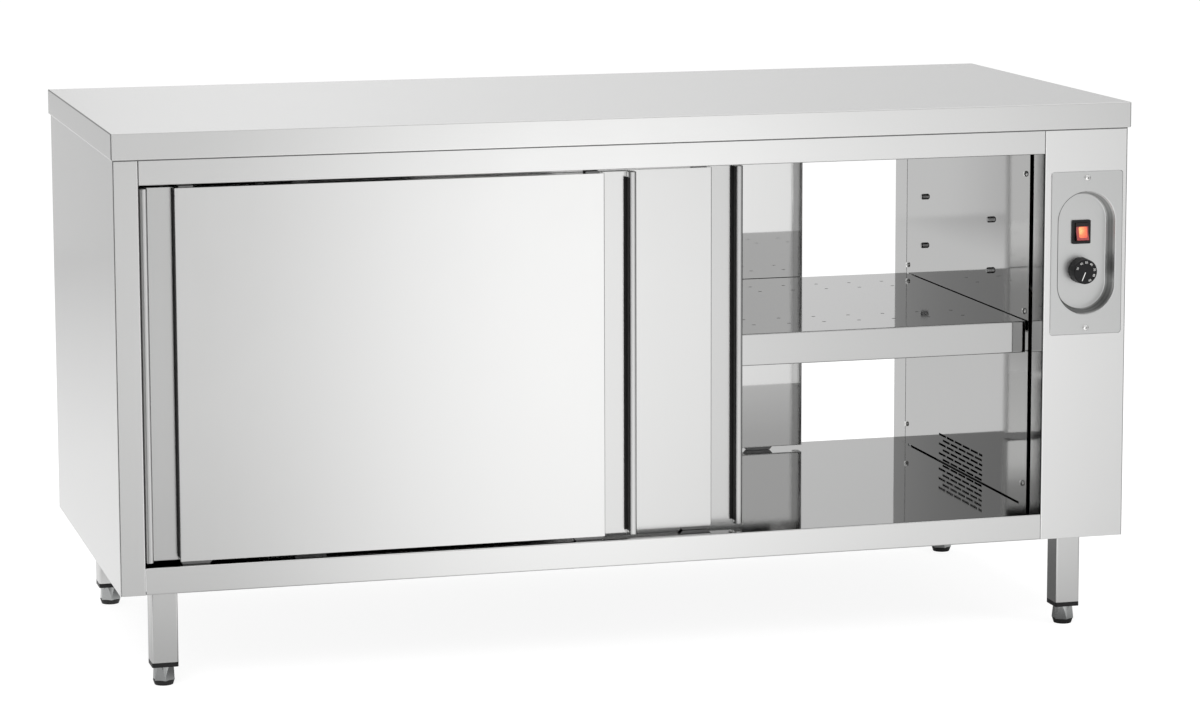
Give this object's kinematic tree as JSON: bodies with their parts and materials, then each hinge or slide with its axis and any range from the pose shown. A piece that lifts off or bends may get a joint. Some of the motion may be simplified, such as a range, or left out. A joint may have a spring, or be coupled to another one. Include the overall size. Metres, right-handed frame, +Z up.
{
  "type": "plate warmer cabinet",
  "caption": "Low heated cabinet for plates with a flat worktop, sliding doors front and rear, one shelf, a control column and four screw-down feet.",
  "frame": {"origin": "on the floor under the middle of the worktop, with the feet wound in", "axes": "+X along the width towards the control column, +Y from the front to the rear, +Z up"},
  "size_m": [1.6, 0.7, 0.842],
  "materials": {
    "satin_stainless": "fine satin grind, soft reflections",
    "bright_stainless": "bright annealed, nearly mirror-like",
    "galvanised_steel": "dull zinc coat",
    "zinc_plated_steel": "bright zinc plate",
    "white_nylon": "turned nylon",
    "black_plastic": "fine moulded grain",
    "red_lens": "lit translucent red",
    "heater_sheath": "heat-darkened alloy sheath",
    "fan_aluminium": "die-cast",
    "copper_tube": "drawn copper"
  },
  "bodies": {
    "cabinet": {"cable_gland": "black_plastic", "ceiling_panel": "bright_stainless", "control_plate": "satin_stainless", "door_tracks": "galvanised_steel", "fan_frame": "fan_aluminium", "floor_pan": "satin_stainless", "heater_box": "galvanised_steel", "heating_element": "heater_sheath", "left_inner_wall": "bright_stainless", "left_side_panel": "satin_stainless", "leg_caps": "black_plastic", "leg_tubes": "satin_stainless", "panel_screws": "bright_stainless", "rear_service_cover": "satin_stainless", "right_inner_wall": "bright_stainless", "right_side_panel": "satin_stainless", "shelf_studs": "bright_stainless", "stiffeners": "galvanised_steel", "switch_housing": "black_plastic", "temperature_probe": "copper_tube", "terminal_block": "white_nylon", "thermostat_body": "zinc_plated_steel", "top_rails": "satin_stainless", "wall_posts": "galvanised_steel", "worktop": "satin_stainless"},
    "front_outer_door": {"front_outer_door_skin": "satin_stainless", "front_outer_door_back": "bright_stainless", "front_outer_door_runners": "zinc_plated_steel"},
    "front_outer_door_left_roller": {"front_outer_door_left_roller": "white_nylon"},
    "front_outer_door_right_roller": {"front_outer_door_right_roller": "white_nylon"},
    "front_inner_door": {"front_inner_door_skin": "satin_stainless", "front_inner_door_back": "bright_stainless", "front_inner_door_runners": "zinc_plated_steel"},
    "front_inner_door_left_roller": {"front_inner_door_left_roller": "white_nylon"},
    "front_inner_door_right_roller": {"front_inner_door_right_roller": "white_nylon"},
    "rear_outer_door": {"rear_outer_door_skin": "satin_stainless", "rear_outer_door_back": "bright_stainless", "rear_outer_door_runners": "zinc_plated_steel"},
    "rear_outer_door_left_roller": {"rear_outer_door_left_roller": "white_nylon"},
    "rear_outer_door_right_roller": {"rear_outer_door_right_roller": "white_nylon"},
    "rear_inner_door": {"rear_inner_door_skin": "satin_stainless", "rear_inner_door_back": "bright_stainless", "rear_inner_door_runners": "zinc_plated_steel"},
    "rear_inner_door_left_roller": {"rear_inner_door_left_roller": "white_nylon"},
    "rear_inner_door_right_roller": {"rear_inner_door_right_roller": "white_nylon"},
    "shelf_tray": {"shelf": "bright_stainless", "shelf_stiffeners": "galvanised_steel"},
    "rocker": {"switch_rocker": "red_lens"},
    "thermostat_dial": {"thermostat_knob": "black_plastic", "thermostat_shaft": "zinc_plated_steel"},
    "fan_rotor": {"fan_impeller": "black_plastic"},
    "front_left_foot": {"front_left_foot_pad": "black_plastic", "front_left_foot_spindle": "satin_stainless"},
    "front_right_foot": {"front_right_foot_pad": "black_plastic", "front_right_foot_spindle": "satin_stainless"},
    "rear_left_foot": {"rear_left_foot_pad": "black_plastic", "rear_left_foot_spindle": "satin_stainless"},
    "rear_right_foot": {"rear_right_foot_pad": "black_plastic", "rear_right_foot_spindle": "satin_stainless"}
  },
  "joints": [
    {"name": "front_outer_door_slide", "type": "slide", "parent": "cabinet", "child": "front_outer_door", "axis": [1, 0, 0], "range_m": [0, 0.657]},
    {"name": "front_outer_door_left_roller_spin", "type": "hinge", "parent": "front_outer_door", "child": "front_outer_door_left_roller", "pos_m": [-0.688, -0.327, 0.7812], "axis": [0, 1, 0], "continuous": true},
    {"name": "front_outer_door_right_roller_spin", "type": "hinge", "parent": "front_outer_door", "child": "front_outer_door_right_roller", "pos_m": [-0.069, -0.327, 0.7812], "axis": [0, 1, 0], "continuous": true},
    {"name": "front_inner_door_slide", "type": "slide", "parent": "cabinet", "child": "front_inner_door", "axis": [1, 0, 0], "range_m": [-0.1785, 0.4785]},
    {"name": "front_inner_door_left_roller_spin", "type": "hinge", "parent": "front_inner_door", "child": "front_inner_door_left_roller", "pos_m": [-0.5095, -0.297, 0.7812], "axis": [0, 1, 0], "continuous": true},
    {"name": "front_inner_door_right_roller_spin", "type": "hinge", "parent": "front_inner_door", "child": "front_inner_door_right_roller", "pos_m": [0.1095, -0.297, 0.7812], "axis": [0, 1, 0], "continuous": true},
    {"name": "rear_outer_door_slide", "type": "slide", "parent": "cabinet", "child": "rear_outer_door", "axis": [1, 0, 0], "range_m": [0, 0.657]},
    {"name": "rear_outer_door_left_roller_spin", "type": "hinge", "parent": "rear_outer_door", "child": "rear_outer_door_left_roller", "pos_m": [-0.688, 0.327, 0.7812], "axis": [0, 1, 0], "continuous": true},
    {"name": "rear_outer_door_right_roller_spin", "type": "hinge", "parent": "rear_outer_door", "child": "rear_outer_door_right_roller", "pos_m": [-0.069, 0.327, 0.7812], "axis": [0, 1, 0], "continuous": true},
    {"name": "rear_inner_door_slide", "type": "slide", "parent": "cabinet", "child": "rear_inner_door", "axis": [1, 0, 0], "range_m": [-0.471, 0.186]},
    {"name": "rear_inner_door_left_roller_spin", "type": "hinge", "parent": "rear_inner_door", "child": "rear_inner_door_left_roller", "pos_m": [-0.217, 0.297, 0.7812], "axis": [0, 1, 0], "continuous": true},
    {"name": "rear_inner_door_right_roller_spin", "type": "hinge", "parent": "rear_inner_door", "child": "rear_inner_door_right_roller", "pos_m": [0.402, 0.297, 0.7812], "axis": [0, 1, 0], "continuous": true},
    {"name": "shelf_lift", "type": "slide", "parent": "cabinet", "child": "shelf_tray", "axis": [0, 0, 1], "range_m": [0, 0.05]},
    {"name": "switch_rock", "type": "hinge", "parent": "cabinet", "child": "rocker", "pos_m": [0.7295, -0.3225, 0.6364], "axis": [1, 0, 0], "range_deg": [0, 20]},
    {"name": "thermostat_turn", "type": "hinge", "parent": "cabinet", "child": "thermostat_dial", "pos_m": [0.7295, -0.3218, 0.5756], "axis": [0, 1, 0], "range_deg": [0, 270]},
    {"name": "fan_spin", "type": "hinge", "parent": "cabinet", "child": "fan_rotor", "pos_m": [0.773, 0.015, 0.2615], "axis": [1, 0, 0], "continuous": true},
    {"name": "front_left_foot_travel", "type": "slide", "parent": "cabinet", "child": "front_left_foot", "axis": [0, 0, -1], "range_m": [0, 0.045]},
    {"name": "front_right_foot_travel", "type": "slide", "parent": "cabinet", "child": "front_right_foot", "axis": [0, 0, -1], "range_m": [0, 0.045]},
    {"name": "rear_left_foot_travel", "type": "slide", "parent": "cabinet", "child": "rear_left_foot", "axis": [0, 0, -1], "range_m": [0, 0.045]},
    {"name": "rear_right_foot_travel", "type": "slide", "parent": "cabinet", "child": "rear_right_foot", "axis": [0, 0, -1], "range_m": [0, 0.045]}
  ],
  "couplings": [
    {"joint": "front_outer_door_left_roller_spin", "follows": "front_outer_door_slide", "rad_per_m": 133.33},
    {"joint": "front_outer_door_right_roller_spin", "follows": "front_outer_door_slide", "rad_per_m": 133.33},
    {"joint": "front_inner_door_left_roller_spin", "follows": "front_inner_door_slide", "rad_per_m": 133.33},
    {"joint": "front_inner_door_right_roller_spin", "follows": "front_inner_door_slide", "rad_per_m": 133.33},
    {"joint": "rear_outer_door_left_roller_spin", "follows": "rear_outer_door_slide", "rad_per_m": 133.33},
    {"joint": "rear_outer_door_right_roller_spin", "follows": "rear_outer_door_slide", "rad_per_m": 133.33},
    {"joint": "rear_inner_door_left_roller_spin", "follows": "rear_inner_door_slide", "rad_per_m": 133.33},
    {"joint": "rear_inner_door_right_roller_spin", "follows": "rear_inner_door_slide", "rad_per_m": 133.33}
  ]
}
